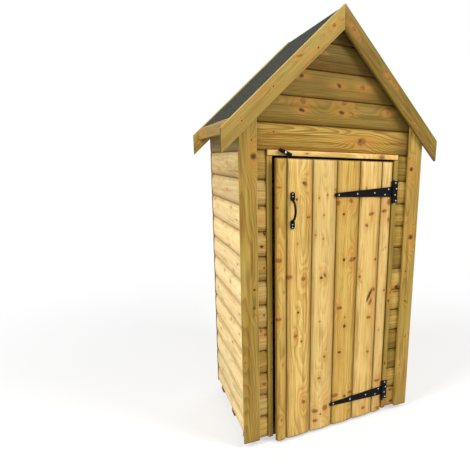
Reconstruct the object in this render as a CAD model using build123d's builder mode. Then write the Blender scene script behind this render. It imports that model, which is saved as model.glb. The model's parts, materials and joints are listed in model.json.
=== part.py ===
"""Timber tool shed: loglap walls, a steep felted roof, and a ledged and braced door on T hinges.

Millimetres. +Z is up, -Y is the door side, and the origin is on the ground under the middle of the floor.
"""
import os
from math import cos, radians, sin, sqrt

from build123d import *

os.makedirs("parts", exist_ok=True)

# Overall sizes
WIDTH = 900
DEPTH = 620
APEX = 1955
FRONT = -DEPTH / 2
REAR = DEPTH / 2

# Roof, measured square to the 45 degree slope from the top edge of the barge boards
FELT_DROP = 4
FELT_THICKNESS = 3
DECK_THICKNESS = 14
DECK_TOP = FELT_DROP + FELT_THICKNESS
DECK_UNDERSIDE = DECK_TOP + DECK_THICKNESS
BARGE_WIDTH = 70
BARGE_THICKNESS = 18
BARGE_REACH = 522
FASCIA_REACH = 500
FASCIA_THICKNESS = 15
FASCIA_BOTTOM = 1413
REAR_OVERHANG = 43
ROOF_REAR = REAR + REAR_OVERHANG

# Cladding boards with a log-shaped face
BOARD_COVER = 110
GABLE_COVER = 112
BOARD_CREST = 16
BOARD_LIP = 11
BOARD_TONGUE = 8
LAP_GAP = 5

# Walls
WALL_OUTER = 448
WALL_INNER = WALL_OUTER - BOARD_CREST
SIDE_BOTTOM = 55
SIDE_TOP_LAP = 1459
FRONT_BOTTOM = 22
FRONT_TOP_LAP = 1236
HEAD_LINE = 1357
TRIM_WIDTH = 75
TRIM_THICKNESS = 14
CLADDING_FRONT = FRONT + TRIM_THICKNESS
CLADDING_BACK = CLADDING_FRONT + BOARD_CREST
REAR_INNER = REAR - BOARD_CREST

# Floor
BEARER_HEIGHT = 44
BEARER_WIDTH = 50
FLOOR_THICKNESS = 14
FLOOR_TOP = BEARER_HEIGHT + FLOOR_THICKNESS
BEARER_CENTRES = {"front_bearer": -235, "middle_bearer": 0, "rear_bearer": 260}

# Framing inside the cladding
STUD_WIDTH = 45
STUD_DEPTH = 28
TOP_RAIL_BOTTOM = 1442
MIDDLE_RAIL_BOTTOM = 700

# Doorway and the strips that frame it
DOORWAY_LEFT = -310
DOORWAY_RIGHT = 298
STRIP_WIDTH = 22
DOORWAY_TOP = HEAD_LINE - STRIP_WIDTH
STRIP_FACE = FRONT + 8

# Door, measured from the hinge pin: across towards the free edge, and out from the pin
DOOR_AJAR = 3.6
PIN_X = 295.5
PIN_Y = STRIP_FACE - 5.5
DOOR_NEAR_EDGE = 2.5
DOOR_FAR_EDGE = 600
DOOR_FACE = -5.5
DOOR_BACK = DOOR_FACE - BOARD_CREST
DOOR_BOTTOM = 12
DOOR_TOP = 1325
DOOR_FIRST_LAP = 64
DOOR_COVER = 122
LEDGE_THICKNESS = 18
LEDGE_HEIGHT = 90
LEDGE_START = 32
LEDGE_END = 574
LEDGE_CHAMFER = 4
LEDGE_BOTTOMS = {"lower_ledge": 86, "middle_ledge": 610, "upper_ledge": 1138}
BRACE_START = 45
BRACE_END = 560
BRACE_FOOT = 105

# T hinges: the height of each, how far its strap droops at the tip, and its countersunk screws
HINGES = {"lower": (131, 0), "upper": (1183, 12)}
STRAP_SCREWS = ((298, 0), (200, 0), (104, 0), (44, -11), (24, 14))
PLATE_SCREWS = ((16, 43), (22, 15), (16, -14), (21, -42))
SCREW_HOLE = 2.4
SCREW_COUNTERSINK = 3.8
LEAF = 2.5
KNUCKLE_RADIUS = 5.5
PIN_RADIUS = 2.95
PIN_HOLE_RADIUS = 3.0
STRAP_ROOT = 47
STRAP_TIP = 18
STRAP_LENGTH = 312
STRAP_SHOULDER = 20
PLATE_HEIGHT = 104
PLATE_REACH = 28.5
KNUCKLE_GAP = 0.5
KNUCKLE_OVERHANG = 4

# Pull handle
HANDLE_U = 526
HANDLE_CENTRE = 1106
HANDLE_HEIGHT = 160
HANDLE_PAD_WIDTH = 21
HANDLE_PAD_HEIGHT = 40
HANDLE_PAD_THICKNESS = 3
HANDLE_SCREWS = (8, 20)
HANDLE_SCREW_HOLE = 1.8
HANDLE_COUNTERSINK = 2.8
GRIP_REACH = 27
GRIP_RADIUS = 5
GRIP_FOOT = 47
GRIP_SHOULDER = 26
GRIP_BEND = 46

# Turn button above the door
BUTTON_X = -253
BUTTON_Z = 1348
BUTTON_TILT = 68
BUTTON_LENGTH = 60
BUTTON_WIDTH = 15
BUTTON_CORNER = 4
BUTTON_THICKNESS = 4.5
BUTTON_STANDOFF = 5.5
BOSS_RADIUS = 7
SCREW_RADIUS = 2.45
SCREW_HOLE_RADIUS = 2.5
SCREW_HEAD_RADIUS = 4.5
SCREW_HEAD_HEIGHT = 2.4
RUNNING_GAP = 0.3

ARRIS = 1.5


def save(part, label):
    """Name a finished piece and write its file."""
    part.label = label
    export_step(part, f"parts/{label}.step")


def facing_front(y):
    """Drawing plane seen from the door side, X to the right and Z up; it extrudes towards the viewer."""
    return Plane(origin=(0, y, 0), x_dir=(1, 0, 0), z_dir=(0, -1, 0))


def under_slope(side, drop):
    """Cutting plane parallel to one roof slope, the given distance below the barge boards' top edge."""
    return Plane(origin=(0, 0, APEX - drop * sqrt(2)), z_dir=(side, 0, 1))


def slope_height(x, drop):
    """Height of a layer of the roof at a distance from the middle."""
    return APEX - abs(x) - drop * sqrt(2)


def lap_heights(bottom, top_lap, top, cover=BOARD_COVER):
    """Heights where one cladding board laps the next, from a wall's bottom edge to its top."""
    laps = []
    lap = top_lap
    while lap > bottom + LAP_GAP:
        laps.insert(0, lap)
        lap -= cover
    return [bottom, *laps, top]


def loglap_section(plane, laps):
    """Section through loglap boards side by side: flat behind, with a log-shaped face and a lap gap on each."""
    with BuildSketch(plane) as section:
        for low, high in zip(laps, laps[1:]):
            shoulder = high - LAP_GAP
            crest = (low + shoulder) / 2
            with BuildLine():
                ThreePointArc((low, BOARD_LIP), (crest, BOARD_CREST), (shoulder, BOARD_LIP))
                Polyline((shoulder, BOARD_LIP), (shoulder, BOARD_TONGUE), (high, BOARD_TONGUE), (high, 0))
                Polyline((high, 0), (low, 0), (low, BOARD_LIP))
            make_face()
    return section.sketch


def cut_under_roof():
    """Trim the piece being built to the underside of the roof boards."""
    for side in (-1, 1):
        split(bisect_by=under_slope(side, DECK_UNDERSIDE), keep=Keep.BOTTOM)


def box_between(x_range, y_range, z_range):
    """Straight piece of sawn timber between two limits on each axis."""
    with Locations(((x_range[0] + x_range[1]) / 2, (y_range[0] + y_range[1]) / 2, (z_range[0] + z_range[1]) / 2)):
        Box(x_range[1] - x_range[0], y_range[1] - y_range[0], z_range[1] - z_range[0])


def mirrored(side, near, far):
    """Left-to-right limits of a piece on one side of the shed, given on the right."""
    return (near, far) if side > 0 else (-far, -near)


SIDES = {"left": -1, "right": 1}

# Floor: three bearers on the ground carry the floor boards
for name, centre in BEARER_CENTRES.items():
    with BuildPart() as bearer:
        box_between(
            (-WALL_INNER, WALL_INNER),
            (centre - BEARER_WIDTH / 2, centre + BEARER_WIDTH / 2),
            (0, BEARER_HEIGHT),
        )
    save(bearer.part, name)

with BuildPart() as floor_boards:
    box_between((-WALL_INNER, WALL_INNER), (CLADDING_BACK, REAR_INNER), (BEARER_HEIGHT, FLOOR_TOP))
save(floor_boards.part, "floor_boards")

# Side and rear walls of loglap boards, bevelled under the roof boards
side_laps = lap_heights(SIDE_BOTTOM, SIDE_TOP_LAP, SIDE_TOP_LAP + BOARD_COVER)
for name, side in SIDES.items():
    wall_plane = Plane(
        origin=(side * WALL_INNER, CLADDING_FRONT if side > 0 else REAR_INNER, 0),
        x_dir=(0, 0, 1),
        z_dir=(0, side, 0),
    )
    with BuildPart() as side_wall:
        extrude(loglap_section(wall_plane, side_laps), amount=REAR_INNER - CLADDING_FRONT)
        cut_under_roof()
    save(side_wall.part, f"{name}_wall")

rear_laps = [*side_laps[:-1], *(SIDE_TOP_LAP + step * BOARD_COVER for step in range(1, 6))]
back_plane = Plane(origin=(WALL_OUTER, REAR_INNER, 0), x_dir=(0, 0, 1), z_dir=(-1, 0, 0))
with BuildPart() as back_wall:
    extrude(loglap_section(back_plane, rear_laps), amount=2 * WALL_OUTER)
    cut_under_roof()
save(back_wall.part, "back_wall")

# Front wall: a strip of cladding on each side of the doorway and the gable over it
front_laps = lap_heights(FRONT_BOTTOM, FRONT_TOP_LAP, HEAD_LINE)
gable_laps = [HEAD_LINE + step * GABLE_COVER for step in range(6)]
FRONT_PANELS = {
    "front_left_wall": (-WALL_INNER, DOORWAY_LEFT - STRIP_WIDTH, front_laps),
    "front_right_wall": (DOORWAY_RIGHT + STRIP_WIDTH, WALL_INNER, front_laps),
    "front_gable": (-WALL_INNER, WALL_INNER, gable_laps),
}
for name, (start, end, laps) in FRONT_PANELS.items():
    panel_plane = Plane(origin=(start, CLADDING_BACK, 0), x_dir=(0, 0, 1), z_dir=(1, 0, 0))
    with BuildPart() as front_panel:
        extrude(loglap_section(panel_plane, laps), amount=end - start)
        cut_under_roof()
    save(front_panel.part, name)

# Corner boards on the front, under the barge boards
for name, side in SIDES.items():
    with BuildPart() as corner_trim:
        box_between(
            mirrored(side, WIDTH / 2 - TRIM_WIDTH, WIDTH / 2),
            (FRONT, CLADDING_FRONT),
            (FRONT_BOTTOM, APEX),
        )
        chamfer(corner_trim.edges().filter_by(Axis.Z).group_by(Axis.Y)[0], ARRIS)
        cut_under_roof()
    save(corner_trim.part, f"front_{name}_trim")

# Framing round the doorway
JAMBS = {"left": (DOORWAY_LEFT - STRIP_WIDTH, DOORWAY_LEFT), "right": (DOORWAY_RIGHT, DOORWAY_RIGHT + STRIP_WIDTH)}
for name, across in JAMBS.items():
    with BuildPart() as jamb_strip:
        box_between(across, (STRIP_FACE, CLADDING_BACK), (FRONT_BOTTOM, DOORWAY_TOP))
    save(jamb_strip.part, f"{name}_jamb_strip")

with BuildPart() as head_batten:
    box_between(
        (DOORWAY_LEFT - STRIP_WIDTH, DOORWAY_RIGHT + STRIP_WIDTH),
        (STRIP_FACE, CLADDING_BACK),
        (DOORWAY_TOP, HEAD_LINE),
    )
save(head_batten.part, "head_batten")

POSTS = {"left": (DOORWAY_LEFT - STUD_WIDTH, DOORWAY_LEFT), "right": (DOORWAY_RIGHT, DOORWAY_RIGHT + STUD_WIDTH)}
for name, across in POSTS.items():
    with BuildPart() as door_post:
        box_between(across, (CLADDING_BACK, CLADDING_BACK + STUD_DEPTH), (FLOOR_TOP, DOORWAY_TOP))
    save(door_post.part, f"{name}_door_post")

with BuildPart() as head_rail:
    box_between(
        (-WALL_INNER, WALL_INNER),
        (CLADDING_BACK, CLADDING_BACK + STUD_DEPTH),
        (DOORWAY_TOP, DOORWAY_TOP + STUD_WIDTH),
    )
save(head_rail.part, "head_rail")

# Rear corner posts, rails under the eaves, and a rail across the back
for name, side in SIDES.items():
    lining = mirrored(side, WALL_INNER - STUD_DEPTH, WALL_INNER)
    with BuildPart() as rear_post:
        box_between(lining, (REAR_INNER - STUD_WIDTH, REAR_INNER), (FLOOR_TOP, TOP_RAIL_BOTTOM))
    save(rear_post.part, f"rear_{name}_post")
    with BuildPart() as top_rail:
        box_between(lining, (CLADDING_BACK, REAR_INNER), (TOP_RAIL_BOTTOM, TOP_RAIL_BOTTOM + STUD_WIDTH))
    save(top_rail.part, f"{name}_top_rail")

with BuildPart() as back_middle_rail:
    box_between(
        (STUD_DEPTH - WALL_INNER, WALL_INNER - STUD_DEPTH),
        (REAR_INNER - STUD_DEPTH, REAR_INNER),
        (MIDDLE_RAIL_BOTTOM, MIDDLE_RAIL_BOTTOM + STUD_WIDTH),
    )
save(back_middle_rail.part, "back_middle_rail")


def slope_section(y, side, top_drop, bottom_drop, reach):
    """Section of a layer lying on one slope, from the ridge to a plumb cut at the eaves."""
    with BuildSketch(facing_front(y)) as section:
        with BuildLine():
            Polyline(
                (0, slope_height(0, top_drop)),
                (side * reach, slope_height(reach, top_drop)),
                (side * reach, slope_height(reach, bottom_drop)),
                (0, slope_height(0, bottom_drop)),
                close=True,
            )
        make_face()
    return section.sketch


# Roof: boards, felt, a fascia at each eaves, and barge boards on both gables
eaves_reach = FASCIA_REACH - FASCIA_THICKNESS
for name, side in SIDES.items():
    with BuildPart() as roof_boards:
        extrude(slope_section(ROOF_REAR, side, DECK_TOP, DECK_UNDERSIDE, eaves_reach), amount=ROOF_REAR - FRONT)
    save(roof_boards.part, f"{name}_roof_boards")

    with BuildPart() as roof_felt:
        extrude(slope_section(ROOF_REAR, side, FELT_DROP, DECK_TOP, eaves_reach), amount=ROOF_REAR - FRONT)
    save(roof_felt.part, f"{name}_roof_felt")

    with BuildPart() as fascia:
        box_between(mirrored(side, eaves_reach, FASCIA_REACH), (FRONT, ROOF_REAR), (FASCIA_BOTTOM, APEX))
        split(bisect_by=under_slope(side, 0), keep=Keep.BOTTOM)
    save(fascia.part, f"{name}_fascia")

    for end, back in {"front": FRONT, "rear": ROOF_REAR + BARGE_THICKNESS}.items():
        with BuildPart() as barge:
            extrude(slope_section(back, side, 0, BARGE_WIDTH, BARGE_REACH), amount=BARGE_THICKNESS)
        save(barge.part, f"{end}_{name}_barge")

# Directions of the door as it hangs ajar: across it from the pin, and out from its face
door_across = (-cos(radians(DOOR_AJAR)), -sin(radians(DOOR_AJAR)), 0)
door_out = (sin(radians(DOOR_AJAR)), -cos(radians(DOOR_AJAR)), 0)


def door_plan(height):
    """Horizontal drawing plane of the door, across it and outwards, with its origin on the pin."""
    return Plane(origin=(PIN_X, PIN_Y, height), x_dir=door_across, z_dir=(0, 0, 1))


def door_elevation(out):
    """Upright drawing plane parallel to the door's face, across it and up; it extrudes inwards."""
    origin = (PIN_X + out * door_out[0], PIN_Y + out * door_out[1], 0)
    return Plane(origin=origin, x_dir=door_across, z_dir=(-door_out[0], -door_out[1], 0))


# Door: upright loglap boards on three ledges and two braces
door_laps = [DOOR_NEAR_EDGE, *(DOOR_FIRST_LAP + step * DOOR_COVER for step in range(5)), DOOR_FAR_EDGE]
door_foot = Plane(
    origin=(PIN_X + DOOR_BACK * door_out[0], PIN_Y + DOOR_BACK * door_out[1], DOOR_BOTTOM),
    x_dir=door_across,
    z_dir=(0, 0, 1),
)
with BuildPart() as door_boards:
    extrude(loglap_section(door_foot, door_laps), amount=DOOR_TOP - DOOR_BOTTOM)
save(door_boards.part, "door_boards")

for name, bottom in LEDGE_BOTTOMS.items():
    with BuildPart() as ledge:
        with BuildSketch(door_elevation(DOOR_BACK)):
            with Locations(((LEDGE_START + LEDGE_END) / 2, bottom + LEDGE_HEIGHT / 2)):
                Rectangle(LEDGE_END - LEDGE_START, LEDGE_HEIGHT)
        extrude(amount=LEDGE_THICKNESS)
        inner_edges = ledge.edges().filter_by(Axis((0, 0, 0), door_across)).group_by(Axis.Y)[-1]
        chamfer(inner_edges, LEDGE_CHAMFER)
    save(ledge.part, name)

for name, below, above in (
    ("lower_brace", "lower_ledge", "middle_ledge"),
    ("upper_brace", "middle_ledge", "upper_ledge"),
):
    foot = LEDGE_BOTTOMS[below] + LEDGE_HEIGHT
    head = LEDGE_BOTTOMS[above]
    with BuildPart() as brace:
        with BuildSketch(door_elevation(DOOR_BACK)):
            with BuildLine():
                Polyline(
                    (BRACE_START, foot),
                    (BRACE_START + BRACE_FOOT, foot),
                    (BRACE_END, head),
                    (BRACE_END - BRACE_FOOT, head),
                    close=True,
                )
            make_face()
        extrude(amount=LEDGE_THICKNESS)
    save(brace.part, name)

def screw_seat(origin, outwards):
    """Plane on a screw's seat, facing the way that its head does."""
    return Plane(origin=origin, z_dir=outwards)


def on_door(across, height, out):
    """Point on the door, from its distance across from the pin, its height, and its distance out."""
    return (
        PIN_X + across * door_across[0] + out * door_out[0],
        PIN_Y + across * door_across[1] + out * door_out[1],
        height,
    )


# T hinges: a tapered strap with one knuckle on the door, and a plate with two knuckles and the pin
leaf_face = DOOR_FACE + LEAF
for name, (height, droop) in HINGES.items():
    tip = height - droop
    with BuildPart() as strap:
        with BuildSketch(door_elevation(leaf_face)):
            with BuildLine():
                Polyline(
                    (STRAP_LENGTH, tip - STRAP_TIP / 2),
                    (STRAP_SHOULDER, height - STRAP_ROOT / 2),
                    (PIN_HOLE_RADIUS, height - STRAP_ROOT / 2),
                    (PIN_HOLE_RADIUS, height + STRAP_ROOT / 2),
                    (STRAP_SHOULDER, height + STRAP_ROOT / 2),
                    (STRAP_LENGTH, tip + STRAP_TIP / 2),
                )
                ThreePointArc(
                    (STRAP_LENGTH, tip + STRAP_TIP / 2),
                    (STRAP_LENGTH + STRAP_TIP / 2, tip),
                    (STRAP_LENGTH, tip - STRAP_TIP / 2),
                )
            make_face()
        extrude(amount=LEAF)
        seats = [
            screw_seat(on_door(across, height + up - droop * across / STRAP_LENGTH, leaf_face), door_out)
            for across, up in STRAP_SCREWS
        ]
        with Locations(*seats):
            CounterSinkHole(SCREW_HOLE, SCREW_COUNTERSINK, depth=2 * LEAF)
        with BuildSketch(door_plan(height - STRAP_ROOT / 2)):
            Circle(KNUCKLE_RADIUS)
        extrude(amount=STRAP_ROOT)
        with BuildSketch(door_plan(height - STRAP_ROOT / 2)):
            Circle(PIN_HOLE_RADIUS)
        extrude(amount=STRAP_ROOT, mode=Mode.SUBTRACT)
    save(strap.part, f"{name}_hinge_strap")

    notch = STRAP_ROOT / 2 + KNUCKLE_GAP
    barrel = PLATE_HEIGHT + 2 * KNUCKLE_OVERHANG
    with BuildPart() as plate:
        with BuildSketch(facing_front(STRIP_FACE)):
            with Locations((PIN_X + PLATE_REACH / 2, height)):
                Rectangle(PLATE_REACH, PLATE_HEIGHT)
            with Locations((PIN_X, height)):
                Rectangle(2 * (KNUCKLE_RADIUS + KNUCKLE_GAP), 2 * notch, mode=Mode.SUBTRACT)
        extrude(amount=LEAF)
        seats = [
            screw_seat((PIN_X + across, STRIP_FACE - LEAF, height + up), (0, -1, 0))
            for across, up in PLATE_SCREWS
        ]
        with Locations(*seats):
            CounterSinkHole(SCREW_HOLE, SCREW_COUNTERSINK, depth=2 * LEAF)
        for bottom in (height - barrel / 2, height + notch):
            with BuildSketch(Plane(origin=(PIN_X, PIN_Y, bottom))):
                Circle(KNUCKLE_RADIUS)
            extrude(amount=barrel / 2 - notch)
        with BuildSketch(Plane(origin=(PIN_X, PIN_Y, height - barrel / 2))):
            Circle(PIN_RADIUS)
        extrude(amount=barrel)
    save(plate.part, f"{name}_hinge_plate")

# Pull handle: two screwed pads and a bowed round grip
with BuildPart() as pull_handle:
    with BuildSketch(door_elevation(DOOR_FACE + HANDLE_PAD_THICKNESS)):
        pad_offset = (HANDLE_HEIGHT - HANDLE_PAD_HEIGHT) / 2
        with Locations((HANDLE_U, HANDLE_CENTRE - pad_offset), (HANDLE_U, HANDLE_CENTRE + pad_offset)):
            SlotOverall(HANDLE_PAD_HEIGHT, HANDLE_PAD_WIDTH, rotation=90)
    extrude(amount=HANDLE_PAD_THICKNESS)
    seats = [
        screw_seat(
            on_door(HANDLE_U, HANDLE_CENTRE + end * (HANDLE_HEIGHT / 2 - inset), DOOR_FACE + HANDLE_PAD_THICKNESS),
            door_out,
        )
        for end in (-1, 1)
        for inset in HANDLE_SCREWS
    ]
    with Locations(*seats):
        CounterSinkHole(HANDLE_SCREW_HOLE, HANDLE_COUNTERSINK, depth=2 * HANDLE_PAD_THICKNESS)
    grip_plane = Plane(
        origin=(PIN_X + HANDLE_U * door_across[0], PIN_Y + HANDLE_U * door_across[1], HANDLE_CENTRE),
        x_dir=door_out,
        z_dir=(-door_across[0], -door_across[1], 0),
    )
    with BuildLine(grip_plane) as grip_path:
        FilletPolyline(
            (DOOR_FACE + HANDLE_PAD_THICKNESS / 2, -GRIP_FOOT),
            (GRIP_REACH, -GRIP_SHOULDER),
            (GRIP_REACH, GRIP_SHOULDER),
            (DOOR_FACE + HANDLE_PAD_THICKNESS / 2, GRIP_FOOT),
            radius=GRIP_BEND,
        )
    with BuildSketch(Plane(origin=grip_path.line @ 0, z_dir=grip_path.line % 0)):
        Circle(GRIP_RADIUS)
    sweep()
    split(bisect_by=door_elevation(DOOR_FACE), keep=Keep.BOTTOM)
save(pull_handle.part, "pull_handle")

# Turn button on the head batten, turned clear of the door, on a screw of its own
button_axis = (-sin(radians(BUTTON_TILT)), 0, cos(radians(BUTTON_TILT)))
button_across = (cos(radians(BUTTON_TILT)), 0, sin(radians(BUTTON_TILT)))


def button_plane(y):
    """Drawing plane facing the door side, with its Y along the tilted button."""
    return Plane(origin=(BUTTON_X, y, BUTTON_Z), x_dir=button_across, z_dir=(0, -1, 0))


button_back = STRIP_FACE - BUTTON_STANDOFF
button_front = button_back - BUTTON_THICKNESS
with BuildPart() as turn_button:
    with BuildSketch(button_plane(button_back)):
        RectangleRounded(BUTTON_WIDTH, BUTTON_LENGTH, BUTTON_CORNER)
    extrude(amount=BUTTON_THICKNESS)
    with BuildSketch(button_plane(STRIP_FACE - RUNNING_GAP)):
        Circle(BOSS_RADIUS)
    extrude(amount=BUTTON_STANDOFF - RUNNING_GAP)
    with BuildSketch(button_plane(STRIP_FACE)):
        Circle(SCREW_HOLE_RADIUS)
    extrude(amount=BUTTON_STANDOFF + BUTTON_THICKNESS, mode=Mode.SUBTRACT)
save(turn_button.part, "turn_button")

with BuildPart() as turn_button_screw:
    with BuildSketch(button_plane(STRIP_FACE)):
        Circle(SCREW_RADIUS)
    extrude(amount=BUTTON_STANDOFF + BUTTON_THICKNESS + RUNNING_GAP)
    with BuildSketch(button_plane(button_front - RUNNING_GAP)):
        Circle(SCREW_HEAD_RADIUS)
    extrude(amount=SCREW_HEAD_HEIGHT)
    fillet(turn_button_screw.edges().group_by(Axis.Y)[0], SCREW_HEAD_HEIGHT / 2)
save(turn_button_screw.part, "turn_button_screw")
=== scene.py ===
"""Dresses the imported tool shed: softwood boards, mineral felt, black ironmongery, screws and nails.

Metres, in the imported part's own frame: +Z up, -Y the door side, origin on the ground under the floor.
"""
import json
import math
import random

import bmesh
import bpy
from mathutils import Matrix, Vector, noise

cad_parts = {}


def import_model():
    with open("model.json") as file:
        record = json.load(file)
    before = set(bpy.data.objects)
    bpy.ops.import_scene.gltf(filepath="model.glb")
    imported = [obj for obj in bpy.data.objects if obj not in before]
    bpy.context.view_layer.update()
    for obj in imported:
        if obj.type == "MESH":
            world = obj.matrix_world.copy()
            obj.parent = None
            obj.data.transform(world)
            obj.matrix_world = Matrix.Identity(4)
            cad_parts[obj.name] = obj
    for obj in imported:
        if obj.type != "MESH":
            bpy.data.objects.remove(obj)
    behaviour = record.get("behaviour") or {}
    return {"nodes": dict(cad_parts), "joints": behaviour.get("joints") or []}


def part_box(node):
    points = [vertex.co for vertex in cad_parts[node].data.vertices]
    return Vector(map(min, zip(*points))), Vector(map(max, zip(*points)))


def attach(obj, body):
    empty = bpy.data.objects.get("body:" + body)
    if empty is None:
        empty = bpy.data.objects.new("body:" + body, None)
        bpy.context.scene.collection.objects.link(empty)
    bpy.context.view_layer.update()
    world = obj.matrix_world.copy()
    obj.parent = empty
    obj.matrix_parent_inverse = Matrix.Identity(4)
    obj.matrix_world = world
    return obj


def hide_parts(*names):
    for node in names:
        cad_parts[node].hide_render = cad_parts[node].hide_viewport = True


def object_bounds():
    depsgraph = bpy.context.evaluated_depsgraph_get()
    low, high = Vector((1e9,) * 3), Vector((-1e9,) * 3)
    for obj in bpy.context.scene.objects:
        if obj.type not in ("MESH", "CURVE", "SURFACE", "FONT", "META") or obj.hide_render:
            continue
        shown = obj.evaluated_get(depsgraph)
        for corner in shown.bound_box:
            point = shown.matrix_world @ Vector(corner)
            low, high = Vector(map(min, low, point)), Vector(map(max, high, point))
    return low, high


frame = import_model()
cad_low, cad_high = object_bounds()

MM = 0.001
ROOT2 = math.sqrt(2)
X, Y, Z = Vector((1, 0, 0)), Vector((0, 1, 0)), Vector((0, 0, 1))
SIDES = {"left": -1, "right": 1}

# Loglap boards, as the joiner cuts them
COVER = 110 * MM
GABLE_COVER = 112 * MM
CREST = 16 * MM
LIP = 11 * MM
TONGUE = 4.5 * MM
LAP_GAP = 5 * MM
LIP_ROUND = 2.2 * MM
ARRIS = 1.6 * MM
SAWN_ARRIS = 0.9 * MM
END_SOAK = (7 * MM, 7 * MM)

# Roof layers, measured square to the slope from the top edge of the barge boards
FELT_DROP = 4 * MM
DECK_TOP = 7 * MM
DECK_UNDERSIDE = 21 * MM
BARGE_WIDTH = 70 * MM

# The felt: the gap under it, how far its top waves and ripples, and how far that lies below its true place
FELT_GAP = 0.2 * MM
FELT_WAVE = 1.1 * MM
FELT_RIPPLE = 0.4 * MM
FELT_SINK = 1.2 * MM

# The timber material reads this many knots near each face, and these parts of each
NEAREST = 4
KNOT_PARTS = ("Lift", "Core", "Dark", "Rim", "Halo", "Green")
BROWN, DARK, GREEN = 0, 1, 2
NO_KNOT = (9, 9, 0, 1, 0, 0)
RINGS_PER_METRE = 215.0

# Strewn knots: about one on this length of board, and this far from its edges
KNOT_SPACING = 0.17
KNOT_MARGIN = 0.008

# Edges that turn by more than these angles stay sharp, on large pieces and on the heads of screws and nails
CORNER = math.radians(38)
HEAD_CORNER = math.radians(30)
TINY = 1e-9

APEX = cad_high.z
box = {name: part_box(name) for name in frame["nodes"]}
joints = {joint["name"]: joint for joint in frame["joints"]}


# Shader nodes

class Shader:
    """A few short words for building one material, or a group, node by node."""

    def __init__(self, tree):
        self.tree = tree

    def node(self, kind, **settings):
        made = self.tree.nodes.new(kind)
        for name, value in settings.items():
            setattr(made, name, value)
        return made

    def join(self, socket, value):
        if isinstance(value, bpy.types.NodeSocket):
            self.tree.links.new(value, socket)
        else:
            socket.default_value = value

    def math(self, operation, a, b=0.0, c=0.0):
        made = self.node("ShaderNodeMath", operation=operation)
        for socket, value in zip(made.inputs, (a, b, c)):
            self.join(socket, value)
        return made.outputs[0]

    def times(self, a, b):
        return self.math("MULTIPLY", a, b)

    def line(self, value, slope, start):
        """The value times a slope, from a start."""
        return self.math("MULTIPLY_ADD", value, slope, start)

    def vector(self, operation, a, b=(0, 0, 0), c=(0, 0, 0)):
        made = self.node("ShaderNodeVectorMath", operation=operation)
        sockets = [socket for socket in made.inputs if socket.type == "VECTOR"]
        for socket, value in zip(sockets, (a, b, c)):
            self.join(socket, value)
        return made.outputs["Value" if operation in ("LENGTH", "DOT_PRODUCT", "DISTANCE") else "Vector"]

    def mix(self, share, a, b, blend="MIX"):
        made = self.node("ShaderNodeMix", data_type="RGBA", blend_type=blend)
        self.join(made.inputs["Factor"], share)
        self.join(made.inputs["A"], a)
        self.join(made.inputs["B"], b)
        return made.outputs["Result"]

    def tinted(self, colour, *rows):
        """The colour with others over it, from rows of a share, its greatest strength and an sRGB colour."""
        for share, strength, rgb in rows:
            colour = self.mix(self.times(share, strength), colour, srgb(*rgb))
        return colour

    def darker(self, colour, rgb):
        """The colour multiplied by another."""
        return self.mix(1.0, colour, srgb(*rgb), "MULTIPLY")

    def remap(self, value, low, high, to_low=0.0, to_high=1.0, smooth=True):
        made = self.node("ShaderNodeMapRange", interpolation_type="SMOOTHSTEP" if smooth else "LINEAR")
        for socket, amount in zip(made.inputs, (value, low, high, to_low, to_high)):
            self.join(socket, amount)
        return made.outputs["Result"]

    def noise(self, place, scale, detail=3.0, roughness=0.55):
        """Noise at one scale, or at a scale for each direction."""
        if isinstance(scale, tuple):
            place, scale = self.vector("MULTIPLY", place, scale), 1.0
        made = self.node("ShaderNodeTexNoise")
        self.join(made.inputs["Vector"], place)
        for name, value in (("Scale", scale), ("Detail", detail), ("Roughness", roughness)):
            made.inputs[name].default_value = value
        return made.outputs["Fac"]

    def attribute(self, name):
        return self.node("ShaderNodeAttribute", attribute_name=name).outputs

    def place(self):
        return self.node("ShaderNodeTexCoord").outputs["Object"]

    def seen(self):
        """1 where something is looked at, straight or in a reflection, and 0 where it only gives light."""
        rays = self.node("ShaderNodeLightPath").outputs
        direct = self.math("MAXIMUM", rays["Is Camera Ray"], rays["Is Glossy Ray"])
        return self.math("MAXIMUM", direct, rays["Is Transmission Ray"])

    def split(self, vector):
        made = self.node("ShaderNodeSeparateXYZ")
        self.join(made.inputs[0], vector)
        return made.outputs

    def combine(self, x, y, z):
        made = self.node("ShaderNodeCombineXYZ")
        for socket, value in zip(made.inputs, (x, y, z)):
            self.join(socket, value)
        return made.outputs[0]

    def surface(self, colour, rough, height, depth, strength, specular=0.5, metallic=0.0):
        """Sets the material's colour, roughness, relief, reflection and metal."""
        bump = self.node("ShaderNodeBump")
        bump.inputs["Strength"].default_value = strength
        bump.inputs["Distance"].default_value = depth
        self.join(bump.inputs["Height"], height)
        surface = self.tree.nodes["Principled BSDF"].inputs
        self.join(surface["Base Color"], colour)
        self.join(surface["Roughness"], rough)
        self.join(surface["Normal"], bump.outputs["Normal"])
        surface["Specular IOR Level"].default_value = specular
        surface["Metallic"].default_value = metallic


def srgb(red, green, blue):
    """An sRGB colour given from 0 to 255, as the linear colour that a shader takes."""
    levels = (level / 255 for level in (red, green, blue))
    return (*(level / 12.92 if level < 0.0404 else ((level + 0.055) / 1.055) ** 2.4 for level in levels), 1)


def new_material(name):
    """An empty material and the words to build it with."""
    material = bpy.data.materials.new(name)
    material.use_nodes = True
    return material, Shader(material.node_tree)


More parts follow.
